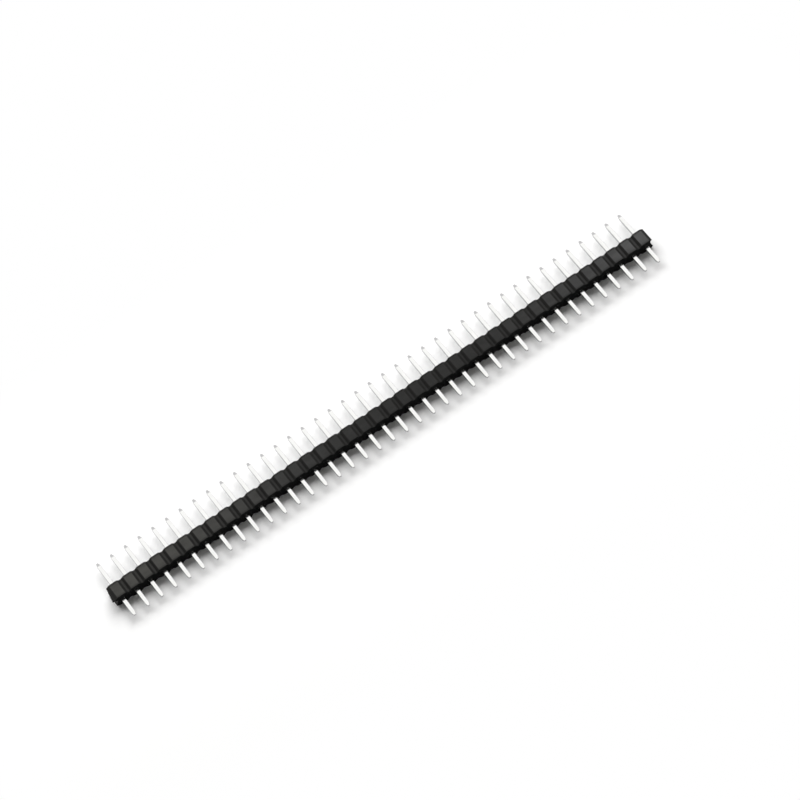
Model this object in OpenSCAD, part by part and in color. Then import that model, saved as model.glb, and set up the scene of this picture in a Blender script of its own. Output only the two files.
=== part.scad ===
// Break-away pin header strip: one row of square pins pressed through a moulded housing.
// The strip lies on one long side of its housing, with +X along the row, the short board
// tails toward -Y, the longer mating ends toward +Y, and the surface it lies on at Z = 0.

/* [Row] */
// Number of pins in the row
pin_count = 40; // [1:1:59]
// Distance from the middle of one pin to the middle of the next
pitch = 2.54; // [2.4:0.02:5.08]

/* [Housing] */
// Depth of the housing along the pins
housing_d = 2.64; // [1.5:0.02:5]
// Height of the housing as it lies, across the pins
housing_h = 2.5; // [2.3:0.05:5]
// How far each end face stands back from the end of the last pitch
end_setback = 0; // [0:0.02:0.3]
// Height of the thin ledge under each end face's upper chamfer
end_ledge_h = 0.14; // [0.1:0.02:0.3]
// How far the end face is undercut below its ledge
end_undercut = 0.45; // [0.05:0.05:0.5]
// How far below the ledge the undercut is deepest, before it slopes out to the lower corner
end_undercut_drop = 0.35; // [0.1:0.05:0.5]

/* [Traces of moulding and breaking] */
// Length of the piece broken out of the ledge on the +X end face, at the board side
ledge_gap_len = 0.2; // [0.05:0.05:1]
// How far that break goes in from the end face
ledge_gap_depth = 0.4; // [0.1:0.05:0.5]
// How far the sheared gate stub stands out of the -X end face
gate_stub_len = 0.45; // [0.1:0.05:0.7]
// Height of the gate stub, whose middle is level with the ledge's upper edge
gate_stub_h = 0.18; // [0.1:0.02:0.24]
// How far the gate stub reaches into the chamfer that it grew out of
gate_stub_root = 0.3; // [0.2:0.05:0.5]

/* [Break notches] */
// Depth of the notches between neighbouring cells
notch_depth = 0.42; // [0.1:0.02:0.6]
// Width of the flat bottom of a notch
notch_floor = 0.32; // [0.1:0.02:0.5]
// Width of each sloping side of a notch
notch_slope = 0.4; // [0.1:0.02:0.5]

/* [Pins] */
// Side of the square wire that the pins are cut from
pin_w = 0.64; // [0.4:0.02:1]
// Length of a board tail outside the housing
tail_len = 3.4; // [2:0.1:12]
// Length of a mating end outside the housing
mate_len = 4.8; // [2:0.1:20]
// Length of the taper at the end of a board tail
tail_taper = 0.45; // [0.1:0.05:1]
// Length of the taper at the end of a mating end
mate_taper = 0.6; // [0.1:0.05:1]
// Side of the small flat left at each tip
tip_w = 0.3; // [0.1:0.02:0.38]
// Gap left between a pin and its hole, which is none on a pressed pin
pin_clearance = 0; // [0:0.01:0.1]

/* [Hidden] */
function pin_name(i) = str("pin_", i < 10 ? "0" : "", i);

// How far a cutter goes on past the face that it opens
cut_extra = 1;

// Along Y: the pins' two ends, then the housing's two faces between them
pin_len = tail_len + housing_d + mate_len;
tail_y = -pin_len / 2;
mate_y = pin_len / 2;
board_face_y = tail_y + tail_len;
mating_face_y = board_face_y + housing_d;

// Across the pins: the height of their axes, then heights above those axes
row_z = housing_h / 2;
half_h = housing_h / 2;
notch_h = half_h - notch_depth;
ledge_bottom_h = notch_h - end_ledge_h;
undercut_h = ledge_bottom_h - end_undercut_drop;

// Along X: the end faces and the last cell's flat
end_x = pin_count * pitch / 2 - end_setback;
flat_end_x = notch_x(pin_count) - notch_floor / 2 - notch_slope;

function pin_x(i) = (i - (pin_count + 1) / 2) * pitch;
function notch_x(i) = pin_x(i) + pitch / 2;

// The same points mirrored, in the reverse order, so that an outline can go on round them
function turned_over(points) = [for (i = [len(points) - 1 : -1 : 0]) [points[i].x, -points[i].y]];
function other_end(points) = [for (i = [len(points) - 1 : -1 : 0]) [-points[i].x, points[i].y]];

// One break notch in the upper side, as points of the housing's section
function notch(x) = [
    [x - notch_floor / 2 - notch_slope, half_h],
    [x - notch_floor / 2, notch_h],
    [x + notch_floor / 2, notch_h],
    [x + notch_floor / 2 + notch_slope, half_h]
];

// The upper side of the section from the -X end face to the +X end face
upper_side = concat(
    [[-end_x, notch_h], [-flat_end_x, half_h]],
    [for (i = [1 : 1 : pin_count - 1]) each notch(notch_x(i))],
    [[flat_end_x, half_h], [end_x, notch_h]]
);

// The undercut of the +X end face, from top to bottom
undercut = [[end_x, ledge_bottom_h], [end_x - end_undercut, undercut_h]];

// The housing's section across the pins, about the line of their axes
module housing_section() {
    polygon(concat(upper_side, undercut, turned_over(upper_side), other_end(undercut)));
}

// Wedge of plastic left where the gate was sheared off the -X end, longest at the board side
module gate_stub() {
    translate([0, 0, row_z + notch_h])
        linear_extrude(gate_stub_h, center = true)
            polygon([
                [-end_x, mating_face_y],
                [-end_x - gate_stub_len, board_face_y],
                [-end_x + gate_stub_root, board_face_y],
                [-end_x + gate_stub_root, mating_face_y]
            ]);
}

// Cutter that breaks the board side's end off the +X end face's ledge, down to the undercut
module ledge_gap() {
    translate([end_x - ledge_gap_depth, board_face_y - cut_extra, row_z + undercut_h])
        cube([ledge_gap_depth + cut_extra, ledge_gap_len + cut_extra, housing_h]);
}

// The hole's cutter stands out of both faces by cut_extra
module pin_hole() {
    hole_w = pin_w + 2 * pin_clearance;
    translate([0, (board_face_y + mating_face_y) / 2, row_z])
        cube([hole_w, housing_d + 2 * cut_extra, hole_w], center = true);
}

module housing() {
    color([0.14, 0.14, 0.15])
        difference() {
            union() {
                translate([0, mating_face_y, row_z])
                    rotate([90, 0, 0])
                        linear_extrude(housing_d)
                            housing_section();
                gate_stub();
            }
            ledge_gap();
            for (i = [1 : pin_count])
                translate([pin_x(i), 0, 0])
                    pin_hole();
        }
}

// Outline of a pin seen from any of its four sides, along Y
module pin_outline() {
    polygon([
        [-tip_w / 2, tail_y],
        [tip_w / 2, tail_y],
        [pin_w / 2, tail_y + tail_taper],
        [pin_w / 2, mate_y - mate_taper],
        [tip_w / 2, mate_y],
        [-tip_w / 2, mate_y],
        [-pin_w / 2, mate_y - mate_taper],
        [-pin_w / 2, tail_y + tail_taper]
    ]);
}

module pin(i) {
    color([0.86, 0.86, 0.85])
        translate([pin_x(i), 0, row_z])
            intersection() {
                linear_extrude(pin_w, center = true)
                    pin_outline();
                rotate([0, 90, 0])
                    linear_extrude(pin_w, center = true)
                        pin_outline();
            }
}

housing();
for (i = [1 : pin_count])
    pin(i);
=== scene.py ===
import math

import bmesh
import bpy
import numpy as np
from mathutils import Matrix, Vector

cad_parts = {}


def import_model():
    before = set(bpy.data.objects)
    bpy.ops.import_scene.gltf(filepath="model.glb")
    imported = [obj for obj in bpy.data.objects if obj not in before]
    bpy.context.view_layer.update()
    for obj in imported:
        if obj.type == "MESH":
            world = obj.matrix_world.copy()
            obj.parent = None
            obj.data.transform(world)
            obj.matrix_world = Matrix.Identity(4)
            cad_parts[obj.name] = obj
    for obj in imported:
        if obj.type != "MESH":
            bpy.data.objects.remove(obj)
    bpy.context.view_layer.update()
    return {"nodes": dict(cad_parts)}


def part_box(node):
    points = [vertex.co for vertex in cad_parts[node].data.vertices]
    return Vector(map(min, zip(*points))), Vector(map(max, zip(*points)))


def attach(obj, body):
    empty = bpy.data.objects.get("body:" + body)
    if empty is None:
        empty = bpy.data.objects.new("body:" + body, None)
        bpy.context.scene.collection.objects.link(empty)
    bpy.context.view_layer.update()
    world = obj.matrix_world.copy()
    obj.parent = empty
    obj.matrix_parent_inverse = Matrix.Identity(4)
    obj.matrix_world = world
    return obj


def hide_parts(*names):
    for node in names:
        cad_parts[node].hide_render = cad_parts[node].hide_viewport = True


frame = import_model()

# A break-away pin header strip: a notched housing with the stub of its gate, and a wire pin through each
# cell. These pieces stand for the frame's solids, and lie on a plain floor under one soft box.

MM = 0.001

# ---------------------------------------------------------------------------
# Sizes. Places come from the frame's own boxes, forms from the part's measures
# ---------------------------------------------------------------------------

PIN_NODES = sorted(name for name in frame["nodes"] if name.startswith("pin_"))
PIN_BOXES = np.array([[tuple(corner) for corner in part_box(name)] for name in PIN_NODES])
PIN_X = PIN_BOXES[:, :, 0].mean(axis=1)
PITCH = (PIN_X[-1] - PIN_X[0]) / (len(PIN_X) - 1)
WIRE = PIN_BOXES[0, 1, 0] - PIN_BOXES[0, 0, 0]
TAIL_Y, MATE_Y = PIN_BOXES[0, :, 1]
ROW_Z = PIN_BOXES[0, :, 2].mean()

HOUSING_LOW, HOUSING_HIGH = (np.array(corner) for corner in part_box("housing"))
BOARD_FACE, MATING_FACE = HOUSING_LOW[1], HOUSING_HIGH[1]
HALF_H = (HOUSING_HIGH[2] - HOUSING_LOW[2]) / 2
END_X = HOUSING_HIGH[0]
MIDDLE_Y, HALF_D = (BOARD_FACE + MATING_FACE) / 2, (MATING_FACE - BOARD_FACE) / 2
STUB_REACH = -END_X - HOUSING_LOW[0]

# The break notches, the end faces' ledges and undercuts, the gap in one ledge, the gate stub and the
# pins' tapers and tips
NOTCH_DEPTH = 0.42 * MM
NOTCH_FLOOR = 0.32 * MM
NOTCH_SLOPE = 0.4 * MM
LEDGE_H = 0.14 * MM
UNDERCUT = 0.45 * MM
UNDERCUT_DROP = 0.35 * MM
LEDGE_GAP_LEN = 0.2 * MM
LEDGE_GAP_DEPTH = 0.4 * MM
STUB_H = 0.18 * MM
STUB_ROOT = 0.3 * MM
TAIL_TAPER = 0.45 * MM
MATE_TAPER = 0.6 * MM
TIP = 0.3 * MM

# Moulded roundings, and the lead-in round each pin's hole
FLAT_ROUNDING = 0.12 * MM
VALLEY_ROUNDING = 0.06 * MM
FACE_ROUNDING = 0.03 * MM
LEDGE_ROUNDING = 0.03 * MM
LEAD_IN_W = 0.1 * MM
LEAD_IN_DEPTH = 0.14 * MM

# The wire's rounded edges, which grow sharper at the tips, and how softly its tapers and tips begin
WIRE_EDGE = 0.07 * MM
TAPER_EDGE = 0.06 * MM
TIP_EDGE = 0.05 * MM
TAPER_EASE = 0.06 * MM
TIP_EASE = 0.03 * MM

# Heights above the line of the pins' axes
NOTCH_H = HALF_H - NOTCH_DEPTH
LEDGE_BOTTOM = NOTCH_H - LEDGE_H
UNDERCUT_H = LEDGE_BOTTOM - UNDERCUT_DROP


# ---------------------------------------------------------------------------
# Shader graphs written as expressions
# ---------------------------------------------------------------------------

class Wire:
    """A shader socket. Sums, differences, products and powers of wires and numbers add Math nodes."""

    def __init__(self, graph, socket):
        self.graph, self.socket = graph, socket

    def math(self, operation, first, second):
        return self.graph.node("ShaderNodeMath", {"operation": operation}, {0: first, 1: second})

    def __add__(self, other):
        return self.math("ADD", self, other)

    def __radd__(self, other):
        return self.math("ADD", other, self)

    def __sub__(self, other):
        return self.math("SUBTRACT", self, other)

    def __rsub__(self, other):
        return self.math("SUBTRACT", other, self)

    def __mul__(self, other):
        return self.math("MULTIPLY", self, other)

    def __rmul__(self, other):
        return self.math("MULTIPLY", other, self)

    def __pow__(self, other):
        return self.math("POWER", self, other)

    def __abs__(self):
        return self.math("MAXIMUM", self, 0.0 - self)

    def top(self, other):
        """The larger of the two."""
        return self.math("MAXIMUM", self, other)


class Graph:
    """A material's or the world's nodes."""

    def __init__(self, owner):
        owner.use_nodes = True
        self.tree = owner.node_tree
        self.tree.nodes.clear()

    def node(self, kind, settings=None, sockets=None, out=0):
        """Adds a node: its settings first, then the values or wires of its sockets. Returns an output."""
        made = self.tree.nodes.new(kind)
        for name, value in (settings or {}).items():
            setattr(made, name, value)
        for name, value in (sockets or {}).items():
            if isinstance(value, Wire):
                self.tree.links.new(value.socket, made.inputs[name])
            else:
                made.inputs[name].default_value = value
        return Wire(self, made.outputs[out])

    def place(self, scale=(1.0, 1.0, 1.0)):
        """Object coordinates in millimetres, times the scale of each axis."""
        where = self.node("ShaderNodeTexCoord", out="Object")
        size = tuple(s / MM for s in scale)
        return self.node("ShaderNodeMapping", None, {"Vector": where, "Scale": size})

    def axis(self, name):
        """One of the object coordinates X, Y or Z, in millimetres."""
        return self.node("ShaderNodeSeparateXYZ", None, {"Vector": self.place()}, out=name)

    def noise(self, where, scale, detail, roughness):
        """Cloudy noise between about 0.2 and 0.8, with scale features to the millimetre."""
        return self.node("ShaderNodeTexNoise", None, {
            "Vector": where, "Scale": scale, "Detail": detail, "Roughness": roughness})

    def span(self, value, low, high, to_low, to_high):
        """Carries low..high over to to_low..to_high, smoothly, and holds it there beyond."""
        return self.node("ShaderNodeMapRange", {"interpolation_type": "SMOOTHSTEP"}, {
            "Value": value, "From Min": low, "From Max": high, "To Min": to_low, "To Max": to_high})

    def blend(self, factor, first, second):
        """Mix of two colours."""
        return self.node("ShaderNodeMix", {"data_type": "RGBA"}, {
            "Factor": factor, 6: first, 7: second}, out=2)

    def bump(self, height, depth):
        """Normals of a relief whose height runs from 0 to 1 over depth, in metres."""
        return self.node("ShaderNodeBump", None, {
            "Height": height, "Distance": depth, "Strength": 1.0}, out="Normal")

    def finish(self, shader, kind="ShaderNodeOutputMaterial"):
        """Leads the shader to the output."""
        self.tree.links.new(shader.socket, self.tree.nodes.new(kind).inputs["Surface"])


def grey(level, tint=(1.0, 1.0, 1.0)):
    """A colour of this linear level in each channel, times the tint."""
    return tuple(level * t for t in tint) + (1.0,)


# ---------------------------------------------------------------------------
# Finishes
# ---------------------------------------------------------------------------

# Tints toward yellow, of the plastic and the fill light, of its painted sheen, and of the tin
WARM = (1.0, 0.99, 0.95)
PAINTED_SHEEN_TINT = (1.0, 0.98, 0.91)
WARM_TIN = (1.0, 1.0, 0.98)
PALE_TIN = (1.0, 1.0, 0.985)

# Grey levels of the plastic: its skin, the painted sheen on its flats, and its two faces
SKIN_DARK, SKIN_PALE = 0.016, 0.020
# The paler grey is painted sheen, standing in for the soft box's sheen on the flats
PAINTED_SHEEN_GREY = 0.090
# The board face's grey is painted shade; the mating face's grey is the plastic's own
BOARD_FACE_PAINTED_SHADE, MATING_FACE_GREY = 0.003, 0.014

# Grey levels of the tin, of the painted shade on its sides and mating tapers, and of the bare cut ends,
# darkened further as painted shade
TIN_DARK, TIN_PALE = 0.93, 0.96
SIDE_PAINTED_SHADE, TAPER_PAINTED_SHADE, CUT_BARE_AND_SHADE = 0.45, 0.56, 0.3

# Stretches of the row, in millimetres along X, over which the painted sheen grows toward an end
SHEEN_LOW_END = (-47.0, 2.0)
SHEEN_HIGH_END = (14.0, 62.0)
SHEEN_LAST_CELLS = (42.0, 51.0)

# Depths of the reliefs
PLASTIC_RELIEF = 0.004 * MM
TIN_RELIEF = 0.002 * MM


def painted_sheen_share(g, clouds, sheen_to_low_end):
    """How far painted sheen lightens the plastic, from distances in millimetres: all on the cells' flats, a
    quarter as much from the notches' floors inward, less toward the two faces, and most toward the ends
    of the row."""
    off_axis = abs(g.axis("Z") - ROW_Z / MM)
    off_middle = abs(g.axis("Y") - MIDDLE_Y / MM)
    # Painted sheen lies on the cells' flats and, a quarter as strong, on the notches' floors
    flat = g.span(off_axis, HALF_H / MM - 0.06, HALF_H / MM - 0.005, 0.0, 1.0)
    valley = 0.25 * g.span(off_axis, NOTCH_H / MM + 0.01, NOTCH_H / MM + 0.05, 1.0, 0.0)
    inside = g.span(off_middle, HALF_D / MM - 0.45, HALF_D / MM - 0.1, 1.0, 0.45)
    inside = inside * g.span(g.axis("Y"), MATING_FACE / MM - 0.5, MATING_FACE / MM - 0.15, 1.0, 0.6)
    sheen_to_high_end = g.span(g.axis("X"), *SHEEN_HIGH_END, 0.0, 1.4) + g.span(g.axis("X"), *SHEEN_LAST_CELLS, 0.0, 0.5)
    share = (0.11 + 0.45 * sheen_to_low_end.top(sheen_to_high_end)) * g.span(clouds, 0.3, 0.7, 0.85, 1.15)
    return flat.top(valley) * inside * share


def moulded_plastic():
    """Charcoal moulded plastic: a satin skin with fine grain and faint flow clouds. The cells' flats carry
    a painted sheen, paler toward the ends of the row, and the board face is darkest, as painted shade."""
    material = bpy.data.materials.new("charcoal moulded plastic")
    g = Graph(material)
    clouds = g.noise(g.place((0.35, 0.8, 0.8)), scale=1.0, detail=4.0, roughness=0.55)
    grain = g.noise(g.place(), scale=14.0, detail=3.0, roughness=0.6)
    specks = g.noise(g.place(), scale=42.0, detail=2.0, roughness=0.5)

    sheen_to_low_end = g.span(g.axis("X"), *SHEEN_LOW_END, 1.0, 0.0)
    skin = g.blend(g.span(clouds, 0.25, 0.75, 0.0, 1.0), grey(SKIN_DARK, WARM), grey(SKIN_PALE, WARM))
    # Painted sheen: a paler grey on the flats stands in for the soft box's sheen, warmer toward the low end
    painted_sheen = g.blend(sheen_to_low_end, grey(PAINTED_SHEEN_GREY), grey(PAINTED_SHEEN_GREY, PAINTED_SHEEN_TINT))
    colour = g.blend(painted_sheen_share(g, clouds, sheen_to_low_end), skin, painted_sheen)

    off_middle = abs(g.axis("Y") - MIDDLE_Y / MM)
    face = g.span(off_middle, HALF_D / MM - 0.04, HALF_D / MM - 0.005, 0.0, 1.0)
    # Painted shade: the board face is darkened, fading toward the mating face's own grey
    to_mating = g.span(g.axis("Y"), BOARD_FACE / MM + 0.5, MATING_FACE / MM - 0.5, 0.0, 1.0)
    board_shade_to_mating_grey = g.blend(to_mating, grey(BOARD_FACE_PAINTED_SHADE), grey(MATING_FACE_GREY, WARM))
    colour = g.blend(face, colour, board_shade_to_mating_grey)

    rough = 0.36 + 0.10 * grain + 0.10 * clouds
    rough = rough + face * (0.75 - rough)
    relief = grain * 0.7 + specks * 0.3
    g.finish(g.node("ShaderNodeBsdfPrincipled", None, {
        "Base Color": colour, "Roughness": rough, "Specular IOR Level": 0.06,
        "Normal": g.bump(relief, PLASTIC_RELIEF)}))
    return material


def tin_plate():
    """Bright tin over drawn wire: fine lines along the wire and soft cloudy dulling. Painted shade darkens
    the wire's two sides and its mating tapers, and the bare metal of the cut ends is darkened as painted
    shade too."""
    material = bpy.data.materials.new("bright tin plate")
    g = Graph(material)
    drawn = g.noise(g.place((9.0, 0.35, 9.0)), scale=1.0, detail=4.0, roughness=0.6)
    clouds = g.noise(g.place((1.0, 0.6, 1.0)), scale=1.3, detail=3.0, roughness=0.5)
    cloudy = g.span(clouds, 0.3, 0.7, 0.0, 1.0)
    colour = g.blend(cloudy, grey(TIN_DARK, WARM_TIN), grey(TIN_PALE, PALE_TIN))

    facing = g.node("ShaderNodeSeparateXYZ", None, {
        "Vector": g.node("ShaderNodeTexCoord", out="Normal")}, out="X")
    # Painted shade: the wire's two sides, facing along X, are greyed
    side = g.span(abs(facing), 0.3, 0.9, 0.0, 1.0)
    colour = g.blend(side, colour, grey(SIDE_PAINTED_SHADE))
    # Painted shade: the mating taper is greyed where it would mirror darker surroundings
    taper = (MATE_Y - MATE_TAPER) / MM
    taper_shade = g.span(g.axis("Y"), taper - 0.2, taper + 0.15, 0.0, 1.0)
    colour = g.blend(taper_shade, colour, grey(TAPER_PAINTED_SHADE))
    # The cut ends are bare metal, and their grey is darkened further as painted shade
    cut = g.span(abs(g.axis("Y")), MATE_Y / MM - 0.03, MATE_Y / MM - 0.01, 0.0, 1.0)
    colour = g.blend(cut, colour, grey(CUT_BARE_AND_SHADE))

    rough = 0.10 + 0.06 * drawn + 0.05 * clouds + 0.25 * cut
    g.finish(g.node("ShaderNodeBsdfPrincipled", None, {
        "Base Color": colour, "Metallic": 1.0, "Roughness": rough,
        "Normal": g.bump(drawn, TIN_RELIEF)}))
    return material


# ---------------------------------------------------------------------------
# Meshes from arrays
# ---------------------------------------------------------------------------

# Points closer than SEAM are one point, and edges that turn by more than SHARP_ANGLE stay sharp
SEAM = 0.0005 * MM
SHARP_ANGLE = math.radians(42)


def put_piece(name, points, faces, material, replaced=()):
    """Makes one closed piece of the points and faces, with its seams merged and its faces outward, that
    rides on the part's one body."""
    mesh = bpy.data.meshes.new(name)
    mesh.from_pydata(points.reshape(-1, 3).tolist(), [], faces)
    work = bmesh.new()
    work.from_mesh(mesh)
    bmesh.ops.remove_doubles(work, verts=work.verts, dist=SEAM)
    bmesh.ops.recalc_face_normals(work, faces=work.faces)
    work.to_mesh(mesh)
    work.free()
    mesh.shade_smooth()
    mesh.set_sharp_from_angle(angle=SHARP_ANGLE)
    mesh.materials.append(material)
    piece = bpy.data.objects.new(name, mesh)
    bpy.context.scene.collection.objects.link(piece)
    shade = piece.modifiers.new("even shading", "WEIGHTED_NORMAL")
    shade.mode, shade.weight, shade.keep_sharp = "FACE_AREA", 50, True
    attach(piece, "root")
    if replaced:
        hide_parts(*replaced)


def ring_faces(rings, around, closed_rings=False):
    """Quads between neighbouring rings, closed round each ring, as (ring pairs, around, 4) indices."""
    ring = np.arange(rings if closed_rings else rings - 1)[:, None]
    step = np.arange(around)[None, :]
    next_ring, next_step = (ring + 1) % rings, (step + 1) % around
    corners = (ring * around + step, ring * around + next_step,
               next_ring * around + next_step, next_ring * around + step)
    return np.stack(np.broadcast_arrays(*corners), axis=-1)


def tube_faces(rings, around):
    """The faces of a tube whose first and last rings are closed by one flat face each."""
    last = (rings - 1) * around
    sides = ring_faces(rings, around).reshape(-1, 4).tolist()
    return sides + [list(range(around)), list(range(last + around - 1, last - 1, -1))]


# ---------------------------------------------------------------------------
# Housing
# ---------------------------------------------------------------------------

# Points on each rounded corner
ARC = 5

# Width of the step where the gap in the ledge stops
GAP_STEP = 0.02 * MM


def rounded_outline(corners, rounding, joint):
    """Each corner C becomes an arc from A to E, the points at its rounding before and after it:
    point(s) = (1-s)^2 A + 2s(1-s) C + s^2 E. Its tangent (1-s)(C-A) + s(E-C), turned a quarter, is
    the outward normal. A joint, where the next cell goes on, keeps one point and a normal along Z.
    Returns the points, the normals and, per point, the corner that it came from."""
    before = np.roll(corners, 1, axis=0) - corners
    after = np.roll(corners, -1, axis=0) - corners
    before /= np.linalg.norm(before, axis=1, keepdims=True)
    after /= np.linalg.norm(after, axis=1, keepdims=True)
    start = (corners + before * rounding[:, None])[:, None, :]
    stop = (corners + after * rounding[:, None])[:, None, :]
    middle = corners[:, None, :]
    s = np.linspace(0.0, 1.0, ARC)[None, :, None]
    points = (1 - s) ** 2 * start + 2 * s * (1 - s) * middle + s ** 2 * stop
    tangent = (1 - s) * -before[:, None, :] + s * after[:, None, :]
    normals = np.stack([tangent[..., 1], -tangent[..., 0]], axis=-1)
    normals /= np.linalg.norm(normals, axis=-1, keepdims=True)
    upright = np.stack([np.zeros(len(corners)), np.sign(corners[:, 1])], axis=-1)
    normals = np.where(joint[:, None, None], upright[:, None, :], normals)
    keep = ~joint[:, None] | (np.arange(ARC)[None, :] == ARC // 2)
    source = np.broadcast_to(np.arange(len(corners))[:, None], keep.shape)
    return points[keep], normals[keep], source[keep]


def cell_outline(last):
    """One cell's outline across the pin, about its axis, from its upper right corner round through the
    upper left one. The last cell has no notch on its right, but a ledge and an undercut. Returns its
    corners, their roundings, which of them are joints, and the indices of the four corner points."""
    half = PITCH / 2
    valley = half - NOTCH_FLOOR / 2
    flat = valley - NOTCH_SLOPE
    side = END_X - PIN_X[-1] if last else half
    upper = [(side, NOTCH_H), (flat, HALF_H), (-flat, HALF_H), (-valley, NOTCH_H), (-half, NOTCH_H)]
    upper_round = [VALLEY_ROUNDING, FLAT_ROUNDING, FLAT_ROUNDING, VALLEY_ROUNDING, 0.0]
    if not last:
        upper.insert(1, (valley, NOTCH_H))
        upper_round.insert(1, VALLEY_ROUNDING)
    lower = [(x, -z) for x, z in reversed(upper)]
    undercut = [(side - UNDERCUT, UNDERCUT_H), (side, LEDGE_BOTTOM)]
    undercut_round = [VALLEY_ROUNDING, LEDGE_ROUNDING]
    corners = upper + lower + (undercut if last else [])
    rounding = upper_round + upper_round[::-1] + (undercut_round if last else [])
    count = len(upper)
    joint = np.zeros(len(corners), bool)
    joint[[count - 1, count]] = True
    if not last:
        joint[[0, 2 * count - 1]] = True
        rounding[0] = rounding[2 * count - 1] = 0.0
    return np.array(corners), np.array(rounding), joint, (0, count - 1, count, 2 * count - 1)


def cell_surface(last):
    """A cell as rings round its pin: from inside the hole's lead-in on the board face, over the mouth,
    out across the face, round its edge, along the sides, and back in over the mating face. A ring is
    either the square of the hole or the outline drawn in along its normals. Two rings on the sides mark
    where the gap in the last cell's ledge stops. Returns the points about the cell's pin, rings by
    places round, and the quads, without those where the next cell goes on."""
    corners, rounding, joint, quarters = cell_outline(last)
    outline, normals, source = rounded_outline(corners, rounding, joint)
    start = int(np.median(np.flatnonzero(source == 0)))
    outline, normals, source = (np.roll(a, -start, axis=0) for a in (outline, normals, source))
    is_joint = joint[source]

    # The square of the hole, its corners at the outline's four corner points
    step = np.linalg.norm(np.roll(outline, -1, axis=0) - outline, axis=1)
    run = np.concatenate([[0.0], np.cumsum(step)[:-1]])
    marks = [0.0] + [run[int(np.median(np.flatnonzero(source == q)))] for q in quarters[1:]] + [step.sum()]
    square_x = np.interp(run, marks, [1, -1, -1, 1, 1])
    square_z = np.interp(run, marks, [1, 1, -1, -1, 1])
    square = np.stack([square_x, square_z], axis=-1)

    # Rings: (on the outline, half side of the square, drawn in by, along Y from the board face)
    hole = [(0, WIRE / 2, 0.0, LEAD_IN_DEPTH), (0, WIRE / 2 + LEAD_IN_W, 0.0, 0.0)]
    turn = np.linspace(0.0, math.pi / 2, ARC)
    edge = [(1, 0.0, FACE_ROUNDING * (1 - math.sin(t)), FACE_ROUNDING * (1 - math.cos(t))) for t in turn]
    gap_end = [(1, 0.0, 0.0, LEDGE_GAP_LEN), (1, 0.0, 0.0, LEDGE_GAP_LEN + GAP_STEP)]
    depth = MATING_FACE - BOARD_FACE
    mating = [(on, half, inset, depth - along) for on, half, inset, along in reversed(hole + edge)]
    rings = np.array(hole + edge + gap_end + mating)
    on, half, inset, along = (column[:, None, None] for column in rings.T)
    across = np.where(on > 0, outline - normals * inset, square * half)
    y = np.broadcast_to(BOARD_FACE + along, across.shape[:2] + (1,))
    points = np.concatenate([across[..., :1], y, across[..., 1:]], axis=-1)

    # Between neighbouring rings on the outline, a side that the next cell goes on from stays open
    quads = ring_faces(len(points), len(outline), closed_rings=True)
    through = is_joint & np.roll(is_joint, -1)
    first, stop = len(hole), len(rings) - len(hole) - 1
    kept = np.ones(quads.shape[:2], bool)
    kept[first:stop] = ~through
    return points, quads[kept]


def ledge_broken(end):
    """The last cell with the board side's end of its ledge broken off: there, above the undercut, no
    point lies further out than the gap's inner face."""
    in_gap = (end[..., 1] < BOARD_FACE + LEDGE_GAP_LEN + GAP_STEP / 2) & (end[..., 2] > UNDERCUT_H)
    gap_face = END_X - PIN_X[-1] - LEDGE_GAP_DEPTH
    broken = end.copy()
    broken[..., 0] = np.where(in_gap, np.minimum(end[..., 0], gap_face), end[..., 0])
    return broken


def housing(material):
    """All cells along the row: those between the ends, the last cell with its ledge broken at the board
    side, and at the first pin the whole last cell's mirror image."""
    middle, middle_quads = cell_surface(last=False)
    end, end_quads = cell_surface(last=True)
    along = np.zeros((len(PIN_X) - 2, 1, 1, 3))
    along[:, 0, 0, 0] = PIN_X[1:-1]
    row = middle + along
    high_end = ledge_broken(end) + (PIN_X[-1], 0, 0)
    low_end = end * (-1, 1, 1) + (PIN_X[0], 0, 0)
    parts = [part.reshape(-1, 3) for part in (row, high_end, low_end)]
    firsts = np.cumsum([len(part) for part in parts])
    count = middle.shape[0] * middle.shape[1]
    row_quads = middle_quads + (np.arange(len(row)) * count)[:, None, None]
    faces = [row_quads.reshape(-1, 4), end_quads + firsts[0], end_quads[:, ::-1] + firsts[1]]
    points = np.concatenate(parts) + (0, 0, ROW_Z)
    faces = np.concatenate(faces).tolist()
    put_piece("housing_moulding", points, faces, material, ["housing"])


# The gate stub starts this far inside the board face, is this much shorter than the housing is deep, and
# grows to its full section over this length
STUB_START = 0.012 * MM
STUB_SHORTER = 0.1 * MM
STUB_FIRST_RING = 0.03 * MM


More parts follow.
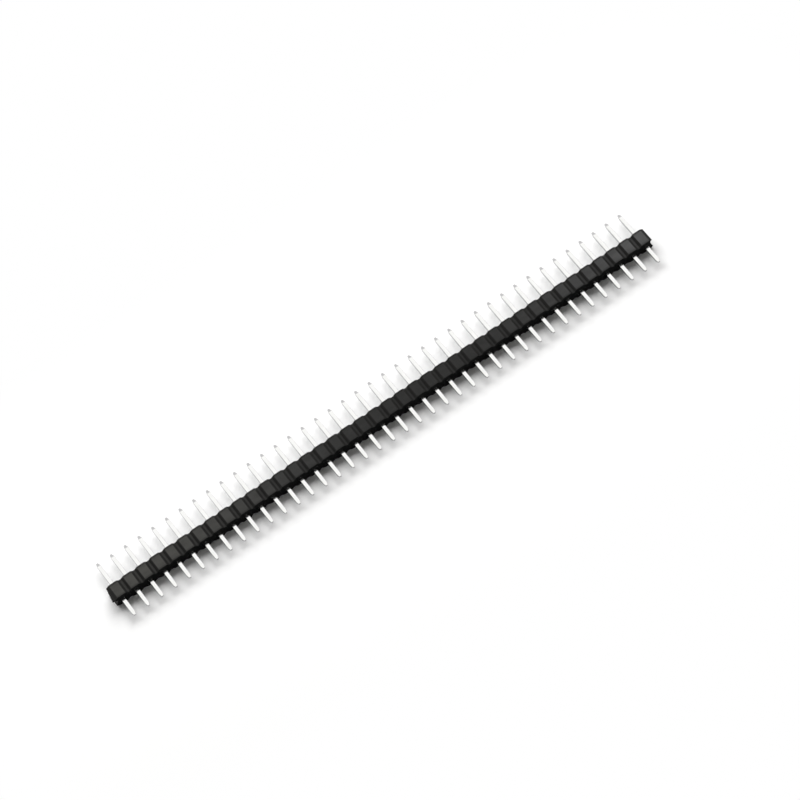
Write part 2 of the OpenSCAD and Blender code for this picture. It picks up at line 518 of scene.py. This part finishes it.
def gate_stub(material):
    """Fin of plastic where the gate was sheared off. Along it, t runs from the board face (0) to where it
    runs out (1). Its reach is the stub's reach * (1 - t), roughened by two sines, and its thickness varies
    with a third. Its section is a superellipse between its root in the end face and that reach, with
    |cos|^power and |sin|^power for its width and height."""
    rings, around, power = 22, 20, 0.4
    root = -END_X + STUB_ROOT
    t = np.linspace(0.0, 1.0, rings)[:, None]
    angle = np.linspace(0.0, 2 * math.pi, around, endpoint=False)[None, :]
    ragged = 1 + 0.05 * np.sin(23 * t + 0.7) + 0.035 * np.sin(61 * t)
    reach = 0.97 * STUB_REACH * (1 - t) * ragged + STUB_ROOT
    reach = reach * np.where(t == 0, 0.94, 1.0)
    thick = STUB_H / 2 * (0.86 - 0.06 * np.sin(31 * t + 2.0)) * np.where((t == 0) | (t == 1), 0.86, 1.0)
    cos, sin = np.cos(angle), np.sin(angle)
    x = root - reach / 2 - reach / 2 * np.sign(cos) * np.abs(cos) ** power
    z = ROW_Z + NOTCH_H + thick * np.sign(sin) * np.abs(sin) ** power
    y = BOARD_FACE + STUB_START + (MATING_FACE - BOARD_FACE - STUB_SHORTER) * t
    y[1] = y[0] + STUB_FIRST_RING
    points = np.stack(np.broadcast_arrays(x, y, z), axis=-1)
    put_piece("gate_stub", points, tube_faces(rings, around), material)


# ---------------------------------------------------------------------------
# Pins
# ---------------------------------------------------------------------------

# Points on each rounded edge of the wire
CORNER_STEPS = 4


def wire_pin(name, x, material):
    """A square wire with rounded edges, carried along Y. Half its side at a station is h and its edges are
    rounded by r: the point at angle a of a corner (cx, cz) is (cx (h - r) + r cos a, cz (h - r) + r sin a).
    Stations run from the board tip over its swaged taper, along the wire, to the mating tip."""
    half, tip = WIRE / 2, TIP / 2
    slope = half - tip
    stations = np.array([
        (TAIL_Y, tip - TIP_EASE, TIP_EDGE),
        (TAIL_Y + TIP_EASE / 3, tip - TIP_EASE / 3, TAPER_EDGE),
        (TAIL_Y + TIP_EASE, tip + slope * TIP_EASE / TAIL_TAPER, TAPER_EDGE),
        (TAIL_Y + TAIL_TAPER - TAPER_EASE, half - slope * TAPER_EASE / TAIL_TAPER, WIRE_EDGE),
        (TAIL_Y + TAIL_TAPER, half - slope * TAPER_EASE / TAIL_TAPER / 4, WIRE_EDGE),
        (TAIL_Y + TAIL_TAPER + TAPER_EASE, half, WIRE_EDGE),
        (MATE_Y - MATE_TAPER - TAPER_EASE, half, WIRE_EDGE),
        (MATE_Y - MATE_TAPER, half - slope * TAPER_EASE / MATE_TAPER / 4, WIRE_EDGE),
        (MATE_Y - MATE_TAPER + TAPER_EASE, half - slope * TAPER_EASE / MATE_TAPER, WIRE_EDGE),
        (MATE_Y - TIP_EASE, tip + slope * TIP_EASE / MATE_TAPER, TAPER_EDGE),
        (MATE_Y - TIP_EASE / 3, tip - TIP_EASE / 3, TAPER_EDGE),
        (MATE_Y, tip - TIP_EASE, TIP_EDGE),
    ])
    y, h, r = (column[:, None, None] for column in stations.T)
    quarter = (np.arange(4) * math.pi / 2)[None, :, None]
    angle = quarter + np.linspace(0.0, math.pi / 2, CORNER_STEPS)[None, None, :]
    cx = np.sign(np.cos(quarter + math.pi / 4))
    cz = np.sign(np.sin(quarter + math.pi / 4))
    px = x + cx * (h - r) + r * np.cos(angle)
    pz = ROW_Z + cz * (h - r) + r * np.sin(angle)
    around = 4 * CORNER_STEPS
    points = np.stack(np.broadcast_arrays(px, y, pz), axis=-1).reshape(len(stations), around, 3)
    faces = tube_faces(len(stations), around)
    put_piece(name.replace("pin_", "wire_pin_"), points, faces, material, [name])


# ---------------------------------------------------------------------------
# Floor, light and camera
# ---------------------------------------------------------------------------

# The floor's half side, level and grey, and the distances from the strip over which it turns plain white
FLOOR_HALF = 4.0
FLOOR_LEVEL = -0.005 * MM
FLOOR_GREY = 0.97
FLOOR_NEAR, FLOOR_FAR = 16 * MM, 42 * MM

# The camera: its place and the point that it looks at, its roll and its lens
CAMERA_PLACE = Vector((-115.27, -275.27, 541.20)) * MM
CAMERA_AIM = Vector((3.25, -0.58, 2.04)) * MM
CAMERA_ROLL = math.radians(-13.2)
SENSOR_WIDTH, LENS = 36.0, 179.5


def seen(g):
    """1 for the rays that show a surface to the camera, in metal or through glass, and 0 for its light."""
    rays = [g.node("ShaderNodeLightPath", out=ray)
            for ray in ("Is Camera Ray", "Is Glossy Ray", "Is Transmission Ray")]
    return rays[0] + rays[1] + rays[2]


def floor():
    """A plain pale floor at the level that the strip lies on. Far from the strip it shows as plain white
    to the camera and in metal, so a view from any side is white to its edges."""
    material = bpy.data.materials.new("white floor")
    g = Graph(material)
    past_end = (abs(g.axis("X")) - END_X / MM).top(0.0)
    away = (past_end ** 2.0 + g.axis("Y") ** 2.0) ** 0.5
    matte = g.node("ShaderNodeBsdfDiffuse", None, {"Color": grey(FLOOR_GREY)})
    white = g.node("ShaderNodeEmission", None, {"Color": grey(1.0), "Strength": 1.0})
    far = g.span(away, FLOOR_NEAR / MM, FLOOR_FAR / MM, 0.0, 1.0)
    g.finish(g.node("ShaderNodeMixShader", None, {0: far * seen(g), 1: matte, 2: white}))
    mesh = bpy.data.meshes.new("floor")
    corners = [(x * FLOOR_HALF, y * FLOOR_HALF, 0) for x, y in ((-1, -1), (1, -1), (1, 1), (-1, 1))]
    mesh.from_pydata(corners, [], [(0, 1, 2, 3)])
    mesh.materials.append(material)
    plane = bpy.data.objects.new("floor", mesh)
    plane.location.z = FLOOR_LEVEL
    bpy.context.scene.collection.objects.link(plane)


def world(fill):
    """Gives soft fill light, and shows as plain white to the camera and in metal."""
    surroundings = bpy.data.worlds.new("white surroundings")
    bpy.context.scene.world = surroundings
    g = Graph(surroundings)
    light = g.node("ShaderNodeBackground", None, {"Color": grey(1.0, WARM), "Strength": fill})
    white = g.node("ShaderNodeBackground", None, {"Color": grey(1.0), "Strength": 1.0})
    g.finish(g.node("ShaderNodeMixShader", None, {0: seen(g), 1: light, 2: white}), "ShaderNodeOutputWorld")


def soft_box(name, azimuth, elevation, distance, width, height, power):
    """An area lamp that faces the strip, at an azimuth from +Y towards +X and an elevation, in degrees,
    and at a distance, with its width and height, in metres."""
    lamp = bpy.data.lights.new(name, "AREA")
    lamp.shape = "RECTANGLE"
    lamp.size, lamp.size_y = width, height
    lamp.energy = power
    a, e = math.radians(azimuth), math.radians(elevation)
    out = Vector((math.sin(a) * math.cos(e), math.cos(a) * math.cos(e), math.sin(e)))
    box = bpy.data.objects.new(name, lamp)
    box.location = out * distance
    box.visible_glossy = False
    box.rotation_mode = "QUATERNION"
    box.rotation_quaternion = out.to_track_quat("Z", "Y")
    bpy.context.scene.collection.objects.link(box)


def camera():
    """A long lens above and in front of the board side, a little rolled."""
    data = bpy.data.cameras.new("camera")
    data.sensor_width, data.lens = SENSOR_WIDTH, LENS
    data.clip_start, data.clip_end = 0.01, 20.0
    view = bpy.data.objects.new("camera", data)
    view.location = CAMERA_PLACE
    view.rotation_mode = "QUATERNION"
    facing = (CAMERA_AIM - CAMERA_PLACE).to_track_quat("-Z", "Y").to_matrix()
    view.rotation_quaternion = (facing @ Matrix.Rotation(CAMERA_ROLL, 3, "Z")).to_quaternion()
    bpy.context.scene.collection.objects.link(view)
    bpy.context.scene.camera = view


camera()
floor()
world(fill=0.11)
soft_box("far soft box", azimuth=10, elevation=48.5, distance=1.1, width=1.6, height=0.92, power=22.4)
bpy.context.scene.view_settings.view_transform = "Standard"

plastic, tin = moulded_plastic(), tin_plate()
housing(plastic)
gate_stub(plastic)
for node_name, pin_x in zip(PIN_NODES, PIN_X):
    wire_pin(node_name, pin_x, tin)
